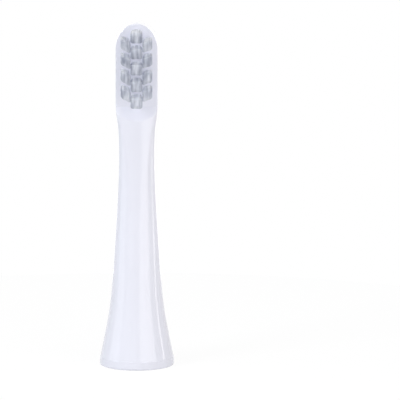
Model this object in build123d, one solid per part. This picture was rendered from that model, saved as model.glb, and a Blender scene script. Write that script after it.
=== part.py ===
"""Slim sonic toothbrush head: a moulded body with a set-back brush plate, thirteen stapled bristle tufts,
and a drive core with a leaf spring pressed into its open base. Millimetres, +Z up, bristles facing -Y,
origin on the drive axis at the centre of the base rim."""

import math
import os

from build123d import *

# Overall sizes of the moulded body
HEAD_LENGTH = 80.0
PLATE_LENGTH = 19.4
BASE_RADIUS = 8.64
RIM_TOP_RADIUS = 8.58
RIM_HEIGHT = 2.0
RIM_EDGE_CHAMFER = 0.35

# Flared round body, leaning back about the base centre: share of the neck's length, radius, corner blend
TIP_LEAN = 2.3
FLARE_RADIUS = 8.86
BODY_PROFILE = [
    (0.245, 5.93, 75.0),
    (0.710, 4.70, 75.0),
    (0.910, 4.70, 40.0),
    (1.005, 5.36, 30.0),
]
OUTLINE_CLEARANCE = 2.0

# Front outline, which trims the round body to flat sides above its foot: share of neck length, half width
FRONT_OUTLINE = [
    (0.165, 8.90),
    (0.3235, 5.62),
    (0.445, 5.15),
    (0.640, 4.42),
    (0.775, 4.10),
    (0.875, 4.14),
    (0.925, 4.36),
]
FRONT_OUTLINE_FOOT_BLEND = 25.0
PLATE_HALF_WIDTH = 4.88
PLATE_SHOULDER_DROP = 0.9
TIP_ARCH_HEIGHT = 6.0

# Front and back of the neck: share of the neck's length, distance from the drive axis
NECK_FRONT = [(0.40, 4.97), (0.89, 2.37)]
NECK_CROWN_RADIUS = 11.0
NECK_BACK = [(0.530, 6.49), (0.630, 5.92), (0.955, 5.26)]

# Brush plate: its face lies just behind the drive axis, above a ramp in the neck's front
PLATE_FACE_SETBACK = 0.16
PLATE_EDGE_CHAMFER = 0.25
RAMP_ANGLE = 36.0
RAMP_FILLET = 0.5
TIP_BACK_RADIUS = 8.2
TIP_BACK_DROP = 4.5
TIP_BACK_REACH = 5.08

# Tufts, in a staggered five-four-four field
TUFT_RADIUS = 1.0
TUFT_HOLE_DEPTH = 2.8
TUFT_CLEARANCE = 0.03
TUFT_SIDES = 16
COLUMN_PITCH = 2.52
ROW_PITCH = 3.8
LOWEST_TUFT_RISE = 2.05
TIP_TUFT_DROP = 2.0
FILAMENT_RINGS = 2
FILAMENT_GAP = 0.05

# V-shaped trim of the bristles
TRIM_VALLEY_RISE = 10.0
TRIM_VALLEY_LENGTH = 6.85
TRIM_ANGLE = 9.5

# Flat wire anchors, which staple each folded tuft into its hole
ANCHOR_THICKNESS = 0.3
ANCHOR_LENGTH = 2.5
ANCHOR_DEPTH = 1.3

# Open base: a drafted recess for the handle's neck, with the core's socket above it
MOUTH_RADIUS = 7.2
RECESS_TOP_RADIUS = 5.75
RECESS_DEPTH = 8.5
SOCKET_DEPTH = 22.5
CORE_CLEARANCE = 0.03

# Drive core
CORE_RADIUS = 3.1
FLANGE_RADIUS = 5.2
FLANGE_THICKNESS = 1.2
CORE_END_GAP = 0.1
KEY_WIDTH = 1.4
KEY_REACH = 3.9
KEY_LENGTH = 13.0
GUIDE_BORE_RADIUS = 1.9
GUIDE_BORE_LENGTH = 10.0
GUIDE_LEAD_IN = 0.3
TIP_BORE_RADIUS = 1.6
TIP_BORE_LENGTH = 11.2
TIP_FLAT_OFFSET = 1.15
WINDOW_WIDTH = 2.2
WINDOW_LENGTH = 9.6
WINDOW_START = 1.0

# Leaf spring in the core's window
SPRING_THICKNESS = 0.22
SPRING_SIDE_GAP = 0.1
SPRING_END_GAP = 0.3
SPRING_CREST_GAP = 0.1
SPRING_FOOT_GAP = 0.25

# Worked out from the sizes above
NECK_LENGTH = HEAD_LENGTH - PLATE_LENGTH
LOWEST_TUFT_HEIGHT = NECK_LENGTH + LOWEST_TUFT_RISE
TRIM_VALLEY_HEIGHT = NECK_LENGTH + TRIM_VALLEY_RISE
FAR = 4 * BASE_RADIUS
UPWARD = (Align.CENTER, Align.CENTER, Align.MIN)
BEHIND_AND_UPWARD = (Align.CENTER, Align.MIN, Align.MIN)
BEFORE_AND_UPWARD = (Align.CENTER, Align.MAX, Align.MIN)
FLANGE_BOTTOM = RECESS_DEPTH - FLANGE_THICKNESS
SOCKET_TOP = RECESS_DEPTH + SOCKET_DEPTH
TIP_BORE_START = FLANGE_BOTTOM + GUIDE_BORE_LENGTH
WINDOW_BOTTOM = TIP_BORE_START + WINDOW_START
HOLE_BOTTOM = PLATE_FACE_SETBACK + TUFT_HOLE_DEPTH


def turned(profile):
    """A closed outline of (radius, height) points, turned about the drive axis."""
    return revolve(Plane.XZ * make_face(Polyline(*profile, close=True)), Axis.Z)


def along_x(profile, half_width):
    """A closed side-view outline face in (y, z), made a solid across the width."""
    return extrude(Plane.YZ * profile, half_width, both=True)


def round_body():
    """The rim, and above it the flared round body that leans back from it."""
    rim = turned([(0, 0), (BASE_RADIUS, 0), (RIM_TOP_RADIUS, RIM_HEIGHT), (0, RIM_HEIGHT)])
    rim = chamfer(rim.edges().group_by(Axis.Z)[0], RIM_EDGE_CHAMFER)
    top = HEAD_LENGTH + OUTLINE_CLEARANCE
    corners = [(radius, share * NECK_LENGTH) for share, radius, blend in BODY_PROFILE]
    blends = [blend for share, radius, blend in BODY_PROFILE]
    flank = FilletPolyline((FLARE_RADIUS, 0), *corners, (corners[-1][0], top), radius=blends)
    core = Polyline(flank @ 1, (0, top), (0, 0), flank @ 0)
    lean = math.degrees(math.atan2(TIP_LEAN, HEAD_LENGTH))
    body = Rot(X=-lean) * revolve(Plane.XZ * make_face([flank, core]), Axis.Z)
    above_rim = Pos(0, 0, RIM_HEIGHT) * Box(FAR, FAR, 2 * HEAD_LENGTH, align=UPWARD)
    return rim + (body & above_rim)


def front_outline():
    """Front view of the head: a waisted neck, straight plate sides and an arched tip, as a solid in depth."""
    arch_foot = HEAD_LENGTH - TIP_ARCH_HEIGHT
    stations = [(x, share * NECK_LENGTH) for share, x in FRONT_OUTLINE]
    stations += [(PLATE_HALF_WIDTH, NECK_LENGTH - PLATE_SHOULDER_DROP)]
    flare = FilletPolyline(*stations[:3], radius=FRONT_OUTLINE_FOOT_BLEND)
    waist = Spline(*stations[2:], tangents=[flare % 1, (0, 1)])
    side = Line(waist @ 1, (PLATE_HALF_WIDTH, arch_foot))
    arch = EllipticalCenterArc((0, arch_foot), PLATE_HALF_WIDTH, TIP_ARCH_HEIGHT, arc_size=180)
    x, z = stations[0]
    foot = Polyline((x, z), (FAR, z), (FAR, -FAR), (-FAR, -FAR), (-FAR, z), (-x, z))
    right = [flare, waist, side]
    return extrude(Plane.XZ * make_face([*right, arch, *mirror(right, Plane.YZ), foot]), FAR, both=True)


def side_outline():
    """Side view of the head: the plate's face, the ramp's plane, the flat back and the tip's rounded back."""
    arc_foot = HEAD_LENGTH - TIP_BACK_DROP
    arc_centre = TIP_BACK_REACH - TIP_BACK_RADIUS
    arc_turn = math.asin((TIP_BACK_DROP + OUTLINE_CLEARANCE) / TIP_BACK_RADIUS)
    arc = ThreePointArc(
        *[
            (arc_centre + TIP_BACK_RADIUS * math.cos(t), arc_foot + TIP_BACK_RADIUS * math.sin(t))
            for t in (0, arc_turn / 2, arc_turn)
        ]
    )
    ramp_drop = (FAR + PLATE_FACE_SETBACK) / math.tan(math.radians(RAMP_ANGLE))
    face = [(PLATE_FACE_SETBACK, (arc @ 1).Y), (PLATE_FACE_SETBACK, NECK_LENGTH)]
    back = [(y, share * NECK_LENGTH) for share, y in NECK_BACK]
    foot = [(-FAR, NECK_LENGTH - ramp_drop), (-FAR, -FAR), (FAR, -FAR), (FAR, back[0][1])]
    return along_x(make_face([arc, Polyline(arc @ 1, *face, *foot, *back, arc @ 0)]), FAR)


def neck_front_waste():
    """What lies in front of the neck's gently crowned front, from above the flare up to the brush plate."""
    (low, low_y), (high, high_y) = [(share * NECK_LENGTH, y) for share, y in NECK_FRONT]
    lean = math.degrees(math.atan2(low_y - high_y, high - low))
    crown = Pos(0, NECK_CROWN_RADIUS, 0) * Cylinder(NECK_CROWN_RADIUS, 4 * HEAD_LENGTH)
    before = Pos(0, 0, low) * Box(FAR, FAR, NECK_LENGTH - low, align=BEFORE_AND_UPWARD)
    return before - Pos(0, -high_y, high) * Rot(X=-lean) * crown


def tuft_places():
    """Name and (x, z) of each tuft, from the tip down; the side columns sit between the middle one's rows."""
    rows = 1 + int((PLATE_LENGTH - LOWEST_TUFT_RISE - TIP_TUFT_DROP) / ROW_PITCH)
    middle = [LOWEST_TUFT_HEIGHT + ROW_PITCH * i for i in reversed(range(rows))]
    side = [z - ROW_PITCH / 2 for z in middle[:-1]]
    places = {f"tuft_middle_{i + 1}": (0.0, z) for i, z in enumerate(middle)}
    places |= {f"tuft_left_{i + 1}": (-COLUMN_PITCH, z) for i, z in enumerate(side)}
    places |= {f"tuft_right_{i + 1}": (COLUMN_PITCH, z) for i, z in enumerate(side)}
    return places


def out_of_plate(depth_y):
    """Plane at a depth in the plate, whose normal runs out of the brush face."""
    return Plane(origin=(0, depth_y, 0), x_dir=(1, 0, 0), z_dir=(0, -1, 0))


def anchor():
    """Flat wire driven edge-on to the bottom of a tuft hole, biting into the plate at both ends."""
    return Pos(0, HOLE_BOTTOM - ANCHOR_DEPTH / 2, 0) * Box(ANCHOR_THICKNESS, ANCHOR_DEPTH, ANCHOR_LENGTH)


def filament_pattern():
    """Hexagonal filaments, packed in rings about a middle one and filling the tuft's round."""
    pitch = (TUFT_RADIUS - TUFT_CLEARANCE) / (FILAMENT_RINGS + 0.5)
    span = range(-FILAMENT_RINGS, FILAMENT_RINGS + 1)
    cells = [(a, b) for a in span for b in span if abs(a + b) <= FILAMENT_RINGS]
    filament = RegularPolygon((pitch - FILAMENT_GAP) / 2, 6, major_radius=False, rotation=30)
    return Sketch() + [Pos(pitch * (a + b / 2), pitch * b * math.sqrt(3) / 2) * filament for a, b in cells]


def untrimmed_tuft():
    """One folded bundle: a plug that fills its hole round the anchor, with long filaments standing out."""
    outline = RegularPolygon(TUFT_RADIUS - TUFT_CLEARANCE, TUFT_SIDES)
    plug = extrude(out_of_plate(HOLE_BOTTOM) * outline, TUFT_HOLE_DEPTH)
    filaments = extrude(out_of_plate(PLATE_FACE_SETBACK) * filament_pattern(), 2 * TRIM_VALLEY_LENGTH)
    return plug - anchor() + filaments


def trim_block():
    """Everything behind the V-shaped trim of the bristle tips."""
    span = HEAD_LENGTH / 4
    rise = span * math.tan(math.radians(TRIM_ANGLE))
    valley = PLATE_FACE_SETBACK - TRIM_VALLEY_LENGTH
    low = TRIM_VALLEY_HEIGHT - span
    high = TRIM_VALLEY_HEIGHT + span
    tips = [(valley - rise, low), (valley, TRIM_VALLEY_HEIGHT), (valley - rise, high)]
    return along_x(make_face(Polyline((FAR, low), *tips, (FAR, high), close=True)), FAR)


def keys(reach, width, top):
    """Two opposite ribs along the core, out to a reach and up to a height."""
    height = top - RECESS_DEPTH
    return Pos(0, 0, RECESS_DEPTH + height / 2) * Box(2 * reach, width, height)


def base_hollow():
    """The drafted recess, the round socket above it and the two keyways."""
    recess = turned([(0, 0), (MOUTH_RADIUS, 0), (RECESS_TOP_RADIUS, RECESS_DEPTH), (0, RECESS_DEPTH)])
    socket = Pos(0, 0, RECESS_DEPTH) * Cylinder(CORE_RADIUS + CORE_CLEARANCE, SOCKET_DEPTH, align=UPWARD)
    keyway_top = RECESS_DEPTH + KEY_LENGTH + CORE_END_GAP
    return recess + socket + keys(KEY_REACH + CORE_CLEARANCE, KEY_WIDTH + 2 * CORE_CLEARANCE, keyway_top)


def plate_face(body):
    """The flat face of the brush plate."""
    return body.faces().filter_by(Axis.Y).sort_by(Axis.Y)[0]


def brush_body(places):
    """The moulded body with its eased plate edge, tuft holes, anchor seats and open base."""
    body = (round_body() & front_outline() & side_outline()) - neck_front_waste()
    body = chamfer(plate_face(body).edges().sort_by(Axis.Z)[1:], PLATE_EDGE_CHAMFER)
    body = fillet(plate_face(body).edges().sort_by(Axis.Z)[:1], RAMP_FILLET)
    hole = extrude(out_of_plate(HOLE_BOTTOM) * RegularPolygon(TUFT_RADIUS, TUFT_SIDES), TUFT_HOLE_DEPTH)
    seat = hole + anchor()
    return body - [Pos(x, 0, z) * seat for x, z in places] - base_hollow()


def drive_core():
    """Sleeve with a flange and two keys: a round guide bore below a D-shaped bore for the shaft's tip."""
    top = SOCKET_TOP - CORE_END_GAP
    tip_top = TIP_BORE_START + TIP_BORE_LENGTH
    sleeve = turned(
        [
            (0, FLANGE_BOTTOM),
            (FLANGE_RADIUS, FLANGE_BOTTOM),
            (FLANGE_RADIUS, RECESS_DEPTH),
            (CORE_RADIUS, RECESS_DEPTH),
            (CORE_RADIUS, top),
            (0, top),
        ]
    )
    bore = turned(
        [
            (0, FLANGE_BOTTOM),
            (GUIDE_BORE_RADIUS + GUIDE_LEAD_IN, FLANGE_BOTTOM),
            (GUIDE_BORE_RADIUS, FLANGE_BOTTOM + GUIDE_LEAD_IN),
            (GUIDE_BORE_RADIUS, TIP_BORE_START),
            (TIP_BORE_RADIUS, TIP_BORE_START),
            (TIP_BORE_RADIUS, tip_top),
            (0, tip_top),
        ]
    )
    flat = Pos(0, TIP_FLAT_OFFSET, TIP_BORE_START) * Box(FAR, FAR, FAR, align=BEHIND_AND_UPWARD)
    window = Pos(0, 0, WINDOW_BOTTOM) * Box(WINDOW_WIDTH, FAR, WINDOW_LENGTH, align=BEHIND_AND_UPWARD)
    return sleeve + keys(KEY_REACH, KEY_WIDTH, RECESS_DEPTH + KEY_LENGTH) - (bore - flat) - window


def shaft_spring():
    """Bowed strip in the core's window, with its crest just behind the D-shaped bore's flat."""
    foot = CORE_RADIUS - SPRING_FOOT_GAP
    crest = TIP_FLAT_OFFSET + SPRING_CREST_GAP + SPRING_THICKNESS
    low = WINDOW_BOTTOM + SPRING_END_GAP
    high = WINDOW_BOTTOM + WINDOW_LENGTH - SPRING_END_GAP
    outer = ThreePointArc((foot, low), (crest, (low + high) / 2), (foot, high))
    inner = Pos(-SPRING_THICKNESS, 0) * outer
    ends = [Line(outer @ 0, inner @ 0), Line(outer @ 1, inner @ 1)]
    return along_x(make_face([outer, inner, *ends]), WINDOW_WIDTH / 2 - SPRING_SIDE_GAP)


def main():
    places = tuft_places()
    bundle = untrimmed_tuft()
    block = trim_block()
    nodes = {name: Pos(x, 0, z) * bundle & block for name, (x, z) in places.items()}
    nodes["brush_body"] = brush_body(places.values())
    nodes["tuft_anchors"] = Compound(children=[Pos(x, 0, z) * anchor() for x, z in places.values()])
    nodes["drive_core"] = drive_core()
    nodes["shaft_spring"] = shaft_spring()
    os.makedirs("parts", exist_ok=True)
    for name, shape in nodes.items():
        export_step(shape, f"parts/{name}.step")


main()
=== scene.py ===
"""Looks of a slim sonic toothbrush head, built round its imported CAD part: a finely meshed glossy body, tufts
of single nylon filaments over milky cores, the drive core, spring and anchors, a white sweep, studio panels
and a camera."""

import math

import bmesh
import bpy
import numpy as np
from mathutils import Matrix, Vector


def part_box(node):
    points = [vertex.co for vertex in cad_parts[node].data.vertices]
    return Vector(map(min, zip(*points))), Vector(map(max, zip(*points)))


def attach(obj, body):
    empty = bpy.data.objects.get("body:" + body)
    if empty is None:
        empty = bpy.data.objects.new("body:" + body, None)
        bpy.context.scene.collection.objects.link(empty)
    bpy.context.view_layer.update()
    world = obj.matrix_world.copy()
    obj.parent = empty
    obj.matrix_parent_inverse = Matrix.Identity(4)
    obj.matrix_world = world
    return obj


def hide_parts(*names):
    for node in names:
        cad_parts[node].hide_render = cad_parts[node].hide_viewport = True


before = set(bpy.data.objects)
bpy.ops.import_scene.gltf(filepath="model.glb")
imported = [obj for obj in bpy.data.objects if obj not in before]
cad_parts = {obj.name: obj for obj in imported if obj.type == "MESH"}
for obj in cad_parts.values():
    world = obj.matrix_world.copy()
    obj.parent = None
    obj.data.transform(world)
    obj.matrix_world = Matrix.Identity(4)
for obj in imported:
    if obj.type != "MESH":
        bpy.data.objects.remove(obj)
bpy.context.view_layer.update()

MM = 0.001
# Points of a new piece that lie this close together, in metres, become one
MERGE_DISTANCE = 1e-7

# Body, as in the CAD part, in millimetres: corners are (height, value) points of straight runs, and blends
# are half the lengths of the curves that ease the corners between the first and the last
HEAD_LENGTH = 80.0
BASE_RADIUS = 8.64
RIM_TOP_RADIUS = 8.58
RIM_HEIGHT = 2.0
TIP_LEAN = 2.3
ROUND_CORNERS = [(0.0, 8.86), (14.85, 5.93), (43.0, 4.70), (55.1, 4.70), (60.9, 5.36), (80.0, 5.36)]
ROUND_BLENDS = [5.6, 2.0, 2.4, 1.8]
SIDE_CORNERS = [
    (10.0, 8.90), (19.6, 5.62), (27.0, 5.15), (38.8, 4.40), (47.0, 4.07), (53.0, 4.11), (56.0, 4.33),
    (59.4, 4.88), (80.0, 4.88),
]
SIDE_BLENDS = [3.3, 3.5, 4.0, 3.0, 2.5, 1.4, 1.7]
PLATE_FACE = 0.16
RAMP_TOP = 60.6
RAMP_SLOPE = 0.7265
RAMP_BLEND = 0.15
CROWN_CORNERS = [(0.0, 10.7), (24.24, 4.97), (60.6, 1.79), (80.0, 6.0)]
CROWN_BLENDS = [0.5, 0.5]
CROWN_RADIUS = 11.0
BACK_CORNERS = [(20.0, 7.64), (38.2, 5.92), (57.9, 5.26), (75.5, 5.08), (80.0, 5.03)]
BACK_BLENDS = [3.0, 3.0, 1.0]
PLATE_HALF_WIDTH = 4.88
TIP_ARCH_HEIGHT = 6.0
ARCH_FOOT = HEAD_LENGTH - TIP_ARCH_HEIGHT
TIP_BACK_RADIUS = 8.2
TIP_BACK_DROP = 4.5
TIP_EDGE_RADIUS = 0.3
CORNER_SHARPNESS = 60
MOUTH_RADIUS = 7.2
RECESS_TOP_RADIUS = 5.75
RECESS_DEPTH = 8.5
SOCKET_RADIUS = 3.13
SOCKET_TOP = 31.0

# Turned foot of the body as (radius, height): the rim, its rounded foot, the mouth, the recess and the socket
FOOT_PROFILE = [
    (RIM_TOP_RADIUS - 0.04, RIM_HEIGHT),
    (RIM_TOP_RADIUS, RIM_HEIGHT - 0.05),
    (RIM_TOP_RADIUS, RIM_HEIGHT - 0.12),
    (BASE_RADIUS - 0.01, 0.5),
    (BASE_RADIUS - 0.02, 0.38),
    (BASE_RADIUS - 0.12, 0.14),
    (BASE_RADIUS - 0.24, 0.05),
    (BASE_RADIUS - 0.4, 0.0),
    (BASE_RADIUS - 0.55, 0.0),
    (MOUTH_RADIUS + 0.2, 0.0),
    (MOUTH_RADIUS + 0.08, 0.0),
    (MOUTH_RADIUS, 0.08),
    (MOUTH_RADIUS - 0.03, 0.2),
    (RECESS_TOP_RADIUS + 0.05, RECESS_DEPTH - 0.25),
    (RECESS_TOP_RADIUS, RECESS_DEPTH - 0.06),
    (RECESS_TOP_RADIUS - 0.06, RECESS_DEPTH),
    (RECESS_TOP_RADIUS - 0.2, RECESS_DEPTH),
    (SOCKET_RADIUS + 0.1, RECESS_DEPTH),
    (SOCKET_RADIUS, RECESS_DEPTH),
    (SOCKET_RADIUS, RECESS_DEPTH + 0.1),
    (SOCKET_RADIUS, SOCKET_TOP),
    (SOCKET_RADIUS - 0.1, SOCKET_TOP),
    (0.0, SOCKET_TOP),
]

# Mesh of the body: points in a ring, and rings in each stretch, which lie closest together across the ramp
ROUND_STEPS = 256
TIP_RINGS = 49
PLATE_RINGS = 26
RAMP_RINGS = 56
NECK_RINGS = 116
RAMP_BAND_TOP = 61.3
RAMP_BAND_FOOT = 56.9
RIM_STEP = 0.05
# Keeps the tip's half width just above nought
LEAST_SQUARE = 1e-12

# Bristles, in millimetres, degrees and shares
TRIM_VALLEY_HEIGHT = 70.6
TRIM_VALLEY_LENGTH = 6.85
TRIM_ANGLE = 9.5
FILAMENTS = 70
FILAMENT_RADIUS = 0.07
FILAMENT_SIDES = 6
FILAMENT_FIELD = 0.95
GOLDEN_ANGLE = math.pi * (3 - math.sqrt(5))
HOLE_FIELD_RADIUS = 0.9
BUNDLE_HALF_WIDTH = {"left": 1.08, "middle": 1.3, "right": 1.08}
BUNDLE_HALF_HEIGHT = 1.15
BUNDLE_SLANT = {"left": -0.55, "middle": 0.0, "right": 0.35}
SQUARENESS = 0.75
TIP_SCATTER = 0.04
LENGTH_SCATTER = 0.1
SCATTER_SEED = 7
ROOT_DEPTH = 0.3
CORE_SIDES = 32
CORE_SHORTFALL = 0.2
CORE_END_BAND = 0.15

# Tone of the bristles, from nought for the darkest to one for the lightest, with painted shade at the flanks
# and cut ends
FLANK_PAINTED_SHADE = 0.6
FILAMENT_SHADE_POWER = 3
CORE_SHADE_POWER = 4
TONE_SCATTER = 0.25
PAINTED_END_SHADE = 0.7
STREAK_DEPTH = 0.66

# Share of a lamp's light that passes a tuft's clear strands
CLEAR_SHARE = 0.89

# Surface patterns, in millimetres
PEEL_SPACING = 1.2
PEEL_DEPTH = 0.02
HAZE_SPACING = 9.0
FLOW_SPACING = 2.5
ROLL_LINE_WIDTH = 0.05
ROLL_LINE_LENGTH = 3.0
# Across, along and up a tuft: strands 0.15 mm wide, drawn four times as coarse so that they show
STREAK_SPACING = (0.625, 25.0, 2.6316)

# Studio, with lengths in metres
FLOOR_RADIUS = 0.12
FLOOR_SIDES = 96
PAPER_WHITE_SHARE = 0.9
PAPER_LEVEL = 1.03
SURROUND = 0.23
LAMP_AIM_HEIGHT = 0.045

# Camera, with lengths in metres but its sensor's width in millimetres
PICTURE_SIZE = 400
PIXELS_PER_MM = 4.311
SENSOR_WIDTH = 36.0
CAMERA_DISTANCE = 2.4
CAMERA_PITCH = math.radians(9.8)
CAMERA_SIDE = 0.01467
CAMERA_AIM_HEIGHT = 0.03872

# Lamps: azimuth and elevation in degrees, distance, width and height in metres, radiance and colour
LAMPS = {
    "left_bank": (-79, 14, 0.6, 0.41, 0.7, 1.2, "#f6faff"),
    "right_bank": (38, 14, 0.6, 0.6, 0.7, 1.75, "#fffdfc"),
    "right_strip": (96, 14, 0.6, 0.08, 0.7, 3.2, "#fffcfa"),
    "front_fill": (-25, 14, 0.6, 0.84, 0.7, 0.1, "#ffffff"),
    "key": (-48, 33, 0.6, 0.2, 0.2, 10.5, "#fbfdff"),
    "overhead": (0, 84, 0.5, 0.4, 0.4, 0.9, "#ffffff"),
    "back_fill": (180, 2, 0.8, 0.7, 0.5, 0.45, "#ffffff"),
}


def colour(code):
    """Linear red, green, blue and alpha of an sRGB hex code."""
    srgb = np.array([int(code[i:i + 2], 16) for i in (1, 3, 5)]) / 255
    linear = np.where(srgb <= 0.04045, srgb / 12.92, ((srgb + 0.055) / 1.055) ** 2.4)
    return (*(float(c) for c in linear), 1.0)


def add_node(tree, kind, links=(), **settings):
    """A shader node with its inputs or attributes set by name, and links given as (input, node, output)."""
    made = tree.nodes.new(kind)
    for name, value in settings.items():
        socket = made.inputs.get(name.replace("_", " "))
        if socket is None:
            setattr(made, name, value)
        else:
            socket.default_value = value
    for name, source, output in links:
        tree.links.new(source.outputs[output], made.inputs[name])
    return made


def new_material(name):
    """An empty material, its node tree and its output node."""
    material = bpy.data.materials.new(name)
    material.use_nodes = True
    material.node_tree.nodes.clear()
    return material, material.node_tree, material.node_tree.nodes.new("ShaderNodeOutputMaterial")


def moulded_gloss_abs():
    """ABS from a polished mould: cool white, glossy, with a faint orange peel that softens reflections."""
    material, tree, out = new_material("moulded_gloss_abs")
    place = add_node(tree, "ShaderNodeTexCoord")
    peel = add_node(
        tree, "ShaderNodeTexNoise", [("Vector", place, "Object")], Scale=1 / (PEEL_SPACING * MM), Detail=2.0,
    )
    haze = add_node(
        tree, "ShaderNodeTexNoise", [("Vector", place, "Object")], Scale=1 / (HAZE_SPACING * MM), Detail=3.0,
    )
    gloss = add_node(tree, "ShaderNodeMapRange", [("Value", haze, "Fac")], To_Min=0.07, To_Max=0.12)
    bump = add_node(
        tree, "ShaderNodeBump", [("Height", peel, "Fac")], Strength=0.05, Distance=PEEL_DEPTH * MM,
    )
    skin = add_node(
        tree, "ShaderNodeBsdfPrincipled", [("Roughness", gloss, "Result"), ("Normal", bump, "Normal")],
        Base_Color=colour("#e4e5ef"), IOR=1.5,
    )
    tree.links.new(skin.outputs["BSDF"], out.inputs["Surface"])
    return material


def natural_acetal():
    """Acetal moulded unpigmented: milky off-white with a satin skin and fine flow marks."""
    material, tree, out = new_material("natural_acetal")
    place = add_node(tree, "ShaderNodeTexCoord")
    flow = add_node(
        tree, "ShaderNodeTexNoise", [("Vector", place, "Object")], Scale=1 / (FLOW_SPACING * MM), Detail=4.0,
    )
    satin = add_node(tree, "ShaderNodeMapRange", [("Value", flow, "Fac")], To_Min=0.36, To_Max=0.5)
    tone = add_node(tree, "ShaderNodeValToRGB", [("Fac", flow, "Fac")])
    tone.color_ramp.elements[0].color = colour("#dcdad2")
    tone.color_ramp.elements[1].color = colour("#e9e8e2")
    skin = add_node(
        tree, "ShaderNodeBsdfPrincipled", [("Base Color", tone, "Color"), ("Roughness", satin, "Result")],
        IOR=1.48,
    )
    tree.links.new(skin.outputs["BSDF"], out.inputs["Surface"])
    return material


def rolled_strip(name, dark, light, roughness):
    """Rolled metal strip: bright, with fine lines along its length from the rolls."""
    material, tree, out = new_material(name)
    place = add_node(tree, "ShaderNodeTexCoord")
    across, along = 1 / (ROLL_LINE_WIDTH * MM), 1 / (ROLL_LINE_LENGTH * MM)
    drawn = add_node(tree, "ShaderNodeMapping", [("Vector", place, "Object")], Scale=(across, across, along))
    lines = add_node(tree, "ShaderNodeTexNoise", [("Vector", drawn, "Vector")], Scale=1.0, Detail=2.0)
    tone = add_node(tree, "ShaderNodeValToRGB", [("Fac", lines, "Fac")])
    tone.color_ramp.elements[0].color = colour(dark)
    tone.color_ramp.elements[1].color = colour(light)
    skin = add_node(
        tree, "ShaderNodeBsdfPrincipled", [("Base Color", tone, "Color")], Metallic=1.0, Roughness=roughness,
    )
    tree.links.new(skin.outputs["BSDF"], out.inputs["Surface"])
    return material


def drawn_nylon(name, roughness, carry):
    """Drawn nylon: clear, seen in bulk as milky, with painted shade that greys the cut ends and a tuft's
    flanks through the tone of each point. A bundle carries light down from its tips, over the given distance
    in millimetres."""
    material, tree, out = new_material(name)
    # Each point's tone holds painted shade at a tuft's flanks and cut ends, and on filaments a random scatter
    # too
    shade = add_node(tree, "ShaderNodeAttribute", attribute_name="filament_tone_and_shade")
    place = add_node(tree, "ShaderNodeTexCoord")
    strands = add_node(
        tree, "ShaderNodeMapping", [("Vector", place, "Object")],
        Scale=tuple(1 / (spacing * MM) for spacing in STREAK_SPACING),
    )
    streak = add_node(tree, "ShaderNodeTexNoise", [("Vector", strands, "Vector")], Scale=1.0, Detail=1.0)
    depth = add_node(
        tree, "ShaderNodeMapRange", [("Value", streak, "Fac")],
        From_Min=0.3, From_Max=0.7, To_Min=1 - STREAK_DEPTH, To_Max=1.0,
    )
    mixed = add_node(tree, "ShaderNodeMath", [(0, shade, "Fac"), (1, depth, "Result")], operation="MULTIPLY")
    tone = add_node(tree, "ShaderNodeValToRGB", [("Fac", mixed, "Value")])
    # The painted shade and the streaks lean towards this dark grey
    tone.color_ramp.elements[0].color = colour("#5c6276")
    tone.color_ramp.elements[1].color = colour("#f2f6ff")
    skin = add_node(
        tree, "ShaderNodeBsdfPrincipled", [("Base Color", tone, "Color")], Roughness=roughness, IOR=1.53,
        Subsurface_Weight=1.0 if carry else 0.0, Subsurface_Scale=carry * MM,
        Subsurface_Radius=(1.0, 1.0, 1.0),
    )
    # Clear strands shade what is behind them only in part
    path = add_node(tree, "ShaderNodeLightPath")
    clear = add_node(tree, "ShaderNodeBsdfTransparent", Color=(CLEAR_SHARE, CLEAR_SHARE, CLEAR_SHARE, 1.0))
    part = add_node(
        tree, "ShaderNodeMixShader", [("Fac", path, "Is Shadow Ray"), (1, skin, "BSDF"), (2, clear, "BSDF")],
    )
    tree.links.new(part.outputs["Shader"], out.inputs["Surface"])
    return material


def plainly_seen(tree):
    """A node that gives one for rays of the camera, of gloss and through clear matter, else nought."""
    path = add_node(tree, "ShaderNodeLightPath")
    seen = add_node(
        tree, "ShaderNodeMath", [(0, path, "Is Camera Ray"), (1, path, "Is Glossy Ray")], operation="MAXIMUM",
    )
    return add_node(
        tree, "ShaderNodeMath", [(0, seen, "Value"), (1, path, "Is Transmission Ray")], operation="MAXIMUM",
    )


def sweep_paper():
    """White studio paper: mostly plain white to the camera and to gloss, with a trace of the head's shadow,
    and clear from below."""
    material, tree, out = new_material("white_sweep_paper")
    share = add_node(tree, "ShaderNodeMath", [(0, plainly_seen(tree), "Value")], operation="MULTIPLY")
    share.inputs[1].default_value = PAPER_WHITE_SHARE
    paper = add_node(tree, "ShaderNodeBsdfDiffuse", Color=colour("#f6f6f6"))
    white = add_node(tree, "ShaderNodeEmission", Color=colour("#ffffff"), Strength=PAPER_LEVEL)
    mixed = add_node(
        tree, "ShaderNodeMixShader", [("Fac", share, "Value"), (1, paper, "BSDF"), (2, white, "Emission")],
    )
    face = add_node(tree, "ShaderNodeNewGeometry")
    clear = add_node(tree, "ShaderNodeBsdfTransparent")
    shown = add_node(
        tree, "ShaderNodeMixShader", [("Fac", face, "Backfacing"), (1, mixed, "Shader"), (2, clear, "BSDF")],
    )
    tree.links.new(shown.outputs["Shader"], out.inputs["Surface"])
    return material


def unit_circle(steps):
    """Evenly spaced points round a circle of radius one."""
    turn = np.linspace(0, 2 * math.pi, steps, endpoint=False)
    return np.stack([np.cos(turn), np.sin(turn)], axis=-1)


def soft_ramp(t, half):
    """Nought before -half, t itself after half, and between them the parabola that joins both smoothly."""
    return np.where(t < -half, 0, np.where(t > half, t, (t + half) ** 2 / (4 * half)))


def eased_runs(heights, corners, blends):
    """Straight runs through (height, value) corners, each corner eased: the first run carried on for ever,
    plus every later change of slope times a soft ramp that starts at its corner."""
    at, value = np.array(corners).T
    slopes = np.diff(value) / np.diff(at)
    runs = value[0] + slopes[0] * (heights - at[0])
    for corner, turn, half in zip(at[1:-1], np.diff(slopes), blends):
        runs = runs + turn * soft_ramp(heights - corner, half)
    return runs


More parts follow.
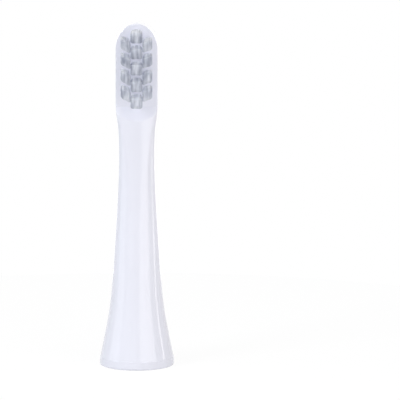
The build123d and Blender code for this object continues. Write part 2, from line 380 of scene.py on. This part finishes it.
def rounded_over(heights, top, radius):
    """How far a wall draws in below a top edge that is rounded over: the rise of a quarter circle."""
    rise = np.clip(heights - (top - radius), 0, radius)
    return radius - np.sqrt(radius ** 2 - rise ** 2)


def to_circle(ray_x, ray_y, start, centre, radius):
    """Share of a ray from (0, start), as 1/share, at which it leaves a circle about (0, centre)."""
    off = start - centre
    along = off * ray_y
    length = ray_x ** 2 + ray_y ** 2
    return length / (np.sqrt(along ** 2 + length * (radius ** 2 - off ** 2)) - along)


def body_rings(heights):
    """Outer skin of the body, one ring of points at each height.

    A ring is where the first of five walls stops a ray from the ring's middle: the leaning round body, the
    two flat sides, the plate's face with the ramp below it, the crowned front of the neck, and the flat back.
    Each wall gives 1/u for the share u of the ray that it allows, and the ring takes the p-norm of those with
    a large p, which is their greatest with every corner softly rounded."""
    cosine, sine = unit_circle(ROUND_STEPS).T[:, None, :]
    z = heights[:, None]
    radius = eased_runs(z, ROUND_CORNERS, ROUND_BLENDS)
    middle = z * TIP_LEAN / HEAD_LENGTH
    climb = (z - ARCH_FOOT) / TIP_ARCH_HEIGHT
    arch = PLATE_HALF_WIDTH * np.sqrt(np.clip(1 - climb ** 2, LEAST_SQUARE, None))
    side = np.where(z > ARCH_FOOT, arch, eased_runs(z, SIDE_CORNERS, SIDE_BLENDS))
    bow = np.clip(z - (HEAD_LENGTH - TIP_BACK_DROP), 0, None)
    edge = rounded_over(z, HEAD_LENGTH, TIP_EDGE_RADIUS)
    plate = PLATE_FACE - RAMP_SLOPE * soft_ramp(RAMP_TOP - z, RAMP_BLEND) + edge
    crown = -eased_runs(z, CROWN_CORNERS, CROWN_BLENDS)
    back = eased_runs(z, BACK_CORNERS, BACK_BLENDS) - edge
    back = back - TIP_BACK_RADIUS + np.sqrt(TIP_BACK_RADIUS ** 2 - bow ** 2)
    near = np.maximum(np.maximum(plate, crown), middle - radius)
    far = np.minimum(back, middle + radius)
    centre = (near + far) / 2
    ray_x = np.minimum(side, radius) * cosine
    ray_y = (far - near) / 2 * sine
    stops = [
        to_circle(ray_x, ray_y, centre, middle, radius),
        np.abs(ray_x) / side,
        np.clip(-ray_y, 0, None) / (centre - plate),
        to_circle(ray_x, ray_y, centre, crown + CROWN_RADIUS, CROWN_RADIUS),
        np.clip(ray_y, 0, None) / (back - centre),
    ]
    reach = np.sum(np.stack(stops) ** CORNER_SHARPNESS, axis=0) ** (-1 / CORNER_SHARPNESS)
    return np.stack([reach * ray_x, centre + reach * ray_y, z + 0 * reach], axis=-1)


def turned_rings(profile):
    """Rings about the drive axis for (radius, height) points."""
    cosine, sine = unit_circle(ROUND_STEPS).T[:, None, :]
    radius, height = np.array(profile).T[:, :, None]
    return np.stack([radius * cosine, radius * sine, height + 0 * cosine], axis=-1)


def tube_faces(count, rings, sides):
    """Quads between neighbouring rings of count tubes, with points numbered tube by tube, ring by ring."""
    steps = np.arange(count), np.arange(rings - 1), np.arange(sides)
    tube, ring, side = np.meshgrid(*steps, indexing="ij")
    start = (tube * rings + ring) * sides
    after = (side + 1) % sides
    quads = np.stack([start + side, start + sides + side, start + sides + after, start + after], axis=-1)
    return quads.reshape(-1, 4)


def new_piece(name, points, faces, material, slot, *nodes):
    """A smooth mesh from points in millimetres, which stands for CAD nodes and rides with the part."""
    mesh = bpy.data.meshes.new(name)
    mesh.from_pydata((points.reshape(-1, 3) * MM).tolist(), [], [list(face) for face in faces])
    made = bmesh.new()
    made.from_mesh(mesh)
    bmesh.ops.remove_doubles(made, verts=made.verts, dist=MERGE_DISTANCE)
    made.to_mesh(mesh)
    made.free()
    mesh.polygons.foreach_set("use_smooth", np.ones(len(mesh.polygons), bool))
    mesh.materials.append(material)
    piece = bpy.data.objects.new(name, mesh)
    bpy.context.scene.collection.objects.link(piece)
    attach(piece, "root")
    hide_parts(*nodes)
    return piece


def moulded_body(material):
    """The body's skin from the tip down to the rim, round the rim's foot and up inside the open base.

    Rings lie at even angles of the tip's arch, then at even heights in each stretch below it."""
    climb = np.sin(np.linspace(math.pi / 2, 0, TIP_RINGS))
    heights = np.concatenate([
        ARCH_FOOT + TIP_ARCH_HEIGHT * climb,
        np.linspace(ARCH_FOOT, RAMP_BAND_TOP, PLATE_RINGS)[1:],
        np.linspace(RAMP_BAND_TOP, RAMP_BAND_FOOT, RAMP_RINGS)[1:],
        np.linspace(RAMP_BAND_FOOT, RIM_HEIGHT + 2 * RIM_STEP, NECK_RINGS)[1:],
        [RIM_HEIGHT + RIM_STEP, RIM_HEIGHT],
    ])
    rings = np.concatenate([body_rings(heights), turned_rings(FOOT_PROFILE)])
    faces = tube_faces(1, len(rings), ROUND_STEPS)
    new_piece("moulded_body", rings, faces, material, "body_plastic", "brush_body")


def tuft_middle(node):
    """Middle of a tuft in the front view, in millimetres, and the name of its column."""
    low, high = (np.array(corner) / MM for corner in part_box(node))
    return (low[0] + high[0]) / 2, (low[2] + high[2]) / 2, node.split("_")[1]


def filled_out(disc, column):
    """Points of a unit disc carried to a softened square: pushed out by more near the diagonals, where the
    sine of twice the angle peaks, then stretched to the column's bundle size and slanted."""
    x, z = disc[..., 0], disc[..., 1]
    twice = 2 * x * z / (x ** 2 + z ** 2)
    grow = 1 + SQUARENESS * (math.sqrt(2) - 1) * twice ** 2
    across = BUNDLE_HALF_WIDTH[column] * grow * x
    return np.stack([across, BUNDLE_HALF_HEIGHT * grow * z + BUNDLE_SLANT[column] * across], axis=-1)


def trim_reach(height):
    """Length of a bristle at a height: the V-shaped trim, shortest in its valley."""
    return TRIM_VALLEY_LENGTH + np.abs(height - TRIM_VALLEY_HEIGHT) * math.tan(math.radians(TRIM_ANGLE))


def set_tone_and_shade(piece, tone):
    """Write a tone for each point of a piece, painted shade included."""
    tones = piece.data.attributes.new("filament_tone_and_shade", "FLOAT", "POINT")
    tones.data.foreach_set("value", tone.ravel().astype(np.float32))


def bristle_tuft(node, material, draw):
    """One tuft's filaments in a sunflower spiral, each a slim tube from inside its hole to the V-shaped trim.

    Filament i of n sits at radius sqrt((i + 1/2)/n) of the field, turned by i golden angles. Just above its
    hole the round bundle fills out to a softened square, with a little scatter, and the last rings draw in to
    a rounded end. Painted shade darkens the tone towards both flanks and at the ends, and tone differs at
    random."""
    x0, z0, column = tuft_middle(node)
    index = np.arange(FILAMENTS)
    radius = FILAMENT_FIELD * np.sqrt((index + 0.5) / FILAMENTS)
    angle = index * GOLDEN_ANGLE + draw.uniform(0, 2 * math.pi)
    disc = np.stack([radius * np.cos(angle), radius * np.sin(angle)], axis=-1)
    root = HOLE_FIELD_RADIUS * disc
    tip = filled_out(disc, column) + draw.normal(0, TIP_SCATTER, disc.shape)
    reach = trim_reach(z0 + tip[:, 1]) - LENGTH_SCATTER * draw.uniform(0, 1, FILAMENTS)
    # For each ring from root to tip: share of the length, share of the filling out, step back and thickness
    share = np.array([0.0, 0.14, 0.4, 1.0, 1.0, 1.0])
    bend = np.array([0.0, 0.6, 0.95, 1.0, 1.0, 1.0])
    step_back = np.array([0.0, 0.0, 0.0, 0.07, 0.02, 0.0])
    thick = np.array([1.0, 1.0, 1.0, 1.0, 0.75, 0.3])
    axis = root[:, None, :] + (tip - root)[:, None, :] * bend[None, :, None]
    out = -ROOT_DEPTH + (reach[:, None] + ROOT_DEPTH) * share[None, :] - step_back[None, :]
    ring = FILAMENT_RADIUS * thick[:, None, None] * unit_circle(FILAMENT_SIDES)[None, :, :]
    flat = axis[:, :, None, :] + ring[None, :, :, :]
    depth = np.broadcast_to(PLATE_FACE - out[:, :, None], flat.shape[:3])
    points = np.stack([x0 + flat[..., 0], depth, z0 + flat[..., 1]], axis=-1)
    rings = len(share)
    sides = tube_faces(FILAMENTS, rings, FILAMENT_SIDES)
    first = index[:, None] * rings * FILAMENT_SIDES + np.arange(FILAMENT_SIDES)[None, :]
    last = first + (rings - 1) * FILAMENT_SIDES
    faces = [*sides.tolist(), *first[:, ::-1].tolist(), *last.tolist()]
    piece = new_piece(node.replace("tuft", "bristles"), points, faces, material, "bristle_nylon", node)
    # The core casts the shadow of the whole bundle
    piece.visible_shadow = False
    # Painted shade, darker towards both flanks of the tuft, then tone that differs at random
    tone = 1 - FLANK_PAINTED_SHADE * np.abs(disc[:, 0]) ** FILAMENT_SHADE_POWER
    tone = tone - TONE_SCATTER * draw.uniform(0, 1, FILAMENTS)
    # Painted shade on the last rings, at the cut ends
    end_shade = np.where(share < 1, 1.0, PAINTED_END_SHADE)
    set_tone_and_shade(piece, tone[:, None, None] * end_shade[None, :, None] * np.ones(FILAMENT_SIDES))


def bundle_core(node, material):
    """The inner mass of one tuft's filaments, drawn as one milky body: a ring carried from inside the hole to
    just short of the V-shaped trim, filling out as the filaments do, and closed at both ends."""
    x0, z0, column = tuft_middle(node)
    disc = unit_circle(CORE_SIDES)
    root = HOLE_FIELD_RADIUS * disc
    # For each ring from root to tip: share of the length, share of the filling out, size and step back
    share = np.array([0.0, 0.0, 0.07, 0.14, 0.27, 0.4, 0.6, 0.8, 1.0, 1.0, 1.0, 1.0])
    bend = np.array([0.0, 0.0, 0.3, 0.6, 0.8, 0.95, 1.0, 1.0, 1.0, 1.0, 1.0, 1.0])
    size = np.array([0.0, 1.0, 1.0, 1.0, 1.0, 1.0, 1.0, 1.0, 1.0, 0.95, 0.5, 0.0])
    step_back = np.array([0.0, 0.0, 0.0, 0.0, 0.0, 0.0, 0.0, 0.0, 0.1, 0.0, 0.0, 0.0])
    flat = size[:, None, None] * (root + (filled_out(disc, column) - root) * bend[:, None, None])
    length = trim_reach(z0 + flat[..., 1]) - CORE_SHORTFALL - step_back[:, None]
    out = -ROOT_DEPTH + (length + ROOT_DEPTH) * share[:, None]
    points = np.stack([x0 + flat[..., 0], PLATE_FACE - out, z0 + flat[..., 1]], axis=-1)
    faces = tube_faces(1, len(share), CORE_SIDES)
    piece = new_piece(node.replace("tuft", "bundle"), points, faces, material, "bristle_nylon", node)
    places = np.empty(3 * len(piece.data.vertices))
    piece.data.vertices.foreach_get("co", places)
    x, y, z = places.reshape(-1, 3).T / MM
    # Painted shade towards both flanks, and on a band at the cut end
    flank = np.minimum(np.abs(x - x0) / BUNDLE_HALF_WIDTH[column], 1)
    at_end = PLATE_FACE - y > trim_reach(z) - CORE_SHORTFALL - CORE_END_BAND
    set_tone_and_shade(piece, (1 - FLANK_PAINTED_SHADE * flank ** CORE_SHADE_POWER) * np.where(at_end, PAINTED_END_SHADE, 1.0))


def white_surround():
    """An even surround: plain white where the camera and gloss see it, and a softer level as light on the
    head."""
    world = bpy.data.worlds.new("white_surround")
    bpy.context.scene.world = world
    world.use_nodes = True
    tree = world.node_tree
    level = add_node(
        tree, "ShaderNodeMapRange", [("Value", plainly_seen(tree), "Value")], To_Min=SURROUND, To_Max=1.0,
    )
    background = tree.nodes["Background"]
    background.inputs["Color"].default_value = colour("#ffffff")
    tree.links.new(level.outputs["Result"], background.inputs["Strength"])


def studio_panel(name, azimuth, elevation, distance, width, height, radiance, code):
    """A flat soft light aimed at the head's middle, with azimuth to the right of the camera's side. Its power
    is radiance times pi times its area."""
    aim = Vector((0, 0, LAMP_AIM_HEIGHT))
    a, e = math.radians(azimuth), math.radians(elevation)
    away = Vector((math.sin(a) * math.cos(e), -math.cos(a) * math.cos(e), math.sin(e)))
    lamp = bpy.data.lights.new(name, "AREA")
    lamp.shape = "RECTANGLE"
    lamp.size = width
    lamp.size_y = height
    lamp.energy = radiance * math.pi * width * height
    lamp.color = colour(code)[:3]
    panel = bpy.data.objects.new(name, lamp)
    panel.location = aim + away * distance
    panel.rotation_euler = (-away).to_track_quat("-Z", "Y").to_euler()
    bpy.context.scene.collection.objects.link(panel)


draw = np.random.default_rng(SCATTER_SEED)
moulded_body(moulded_gloss_abs())
filament = drawn_nylon("drawn_nylon_filament", roughness=0.35, carry=0.0)
bundle = drawn_nylon("drawn_nylon_bundle", roughness=0.5, carry=8.0)
for node in sorted(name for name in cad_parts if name.startswith("tuft_") and name != "tuft_anchors"):
    bristle_tuft(node, filament, draw)
    bundle_core(node, bundle)

# Pieces that keep their CAD shape
finishes = {
    "drive_core": natural_acetal(),
    "shaft_spring": rolled_strip("rolled_spring_steel", "#a9aaae", "#d8d9dc", roughness=0.25),
    "tuft_anchors": rolled_strip("rolled_brass", "#b8924a", "#dbbd77", roughness=0.3),
}
for node, finish in finishes.items():
    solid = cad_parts[node]
    if not solid.material_slots:
        solid.data.materials.append(finish)
    for place in solid.material_slots:
        place.material = finish

# Floor: a round sheet of paper under the rim
edge = np.pad(FLOOR_RADIUS * unit_circle(FLOOR_SIDES), ((0, 0), (0, 1)))
paper = bpy.data.meshes.new("sweep")
paper.from_pydata(edge.tolist(), [], [list(range(FLOOR_SIDES))])
paper.materials.append(sweep_paper())
sweep = bpy.data.objects.new("sweep", paper)
bpy.context.scene.collection.objects.link(sweep)

# Studio: a white surround, tall banks at the left and right, a thin strip at the far right, a small key at
# the left, a weak fill in front, and panels overhead and behind
white_surround()
for name, settings in LAMPS.items():
    studio_panel(name, *settings)

# Camera: far off with a long lens, at the photograph's height and aim, for a square picture
camera = bpy.data.objects.new("camera", bpy.data.cameras.new("camera"))
camera.data.sensor_width = SENSOR_WIDTH
camera.data.lens = SENSOR_WIDTH / PICTURE_SIZE * PIXELS_PER_MM * CAMERA_DISTANCE / MM
camera.location = (
    CAMERA_SIDE,
    -CAMERA_DISTANCE * math.cos(CAMERA_PITCH),
    CAMERA_AIM_HEIGHT + CAMERA_DISTANCE * math.sin(CAMERA_PITCH),
)
camera.rotation_euler = (math.pi / 2 - CAMERA_PITCH, 0, 0)
bpy.context.scene.collection.objects.link(camera)
bpy.context.scene.camera = camera
bpy.context.scene.view_settings.view_transform = "Standard"
